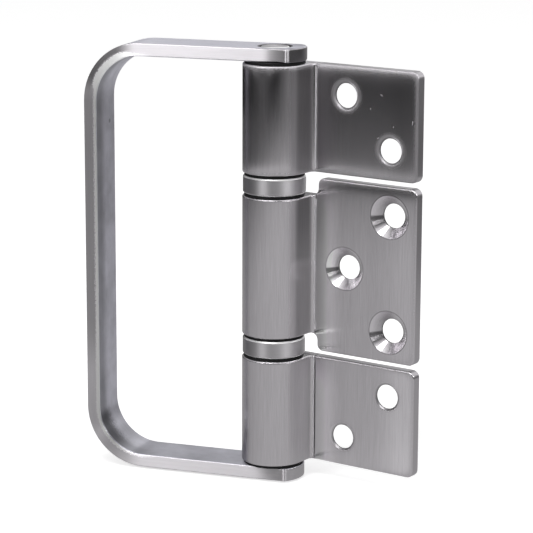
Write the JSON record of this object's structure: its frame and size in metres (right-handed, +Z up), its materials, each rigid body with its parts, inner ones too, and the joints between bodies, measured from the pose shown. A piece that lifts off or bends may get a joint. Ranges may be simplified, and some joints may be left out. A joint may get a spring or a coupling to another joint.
{
  "type": "bifold door hinge",
  "caption": "Stainless steel bifold door hinge: nested flat leaves turn on an upright pin, which also carries a D-shaped pull handle that swings over and under the barrel.",
  "frame": {"origin": "on the pin's axis at the hinge's lower end, where the pin is flush with the underside of the handle's lower arm", "axes": "+Z up along the pin, +X from the pin along the closed leaves to their free edges, -Y the side that the middle leaf's countersinks open to"},
  "size_m": [0.0917, 0.0289, 0.116],
  "materials": {
    "leaf_steel": "satin brushed",
    "handle_steel": "satin brushed",
    "turned_steel": "fine turned",
    "bush_polymer": "matt black"
  },
  "bodies": {
    "middle": {"middle_leaf": "leaf_steel", "middle_leaf_top_bush": "bush_polymer", "middle_leaf_bottom_bush": "bush_polymer"},
    "upper": {"upper_leaf": "leaf_steel", "upper_leaf_top_bush": "bush_polymer", "upper_leaf_bottom_bush": "bush_polymer"},
    "lower": {"lower_leaf": "leaf_steel", "lower_leaf_top_bush": "bush_polymer", "lower_leaf_bottom_bush": "bush_polymer"},
    "pull": {"handle": "handle_steel", "hinge_pin": "turned_steel", "upper_spacer_ring": "turned_steel", "lower_spacer_ring": "turned_steel"}
  },
  "joints": [
    {"name": "upper_leaf_swing", "type": "hinge", "parent": "middle", "child": "upper", "pos_m": [0, 0, 0.0973], "axis": [0, 0, -1], "range_deg": [0, 180]},
    {"name": "lower_leaf_swing", "type": "hinge", "parent": "middle", "child": "lower", "pos_m": [0, 0, 0.0187], "axis": [0, 0, -1], "range_deg": [0, 180]},
    {"name": "handle_swing", "type": "hinge", "parent": "middle", "child": "pull", "pos_m": [0, 0, 0.058], "axis": [0, 0, 1], "range_deg": [-106, 74]}
  ]
}
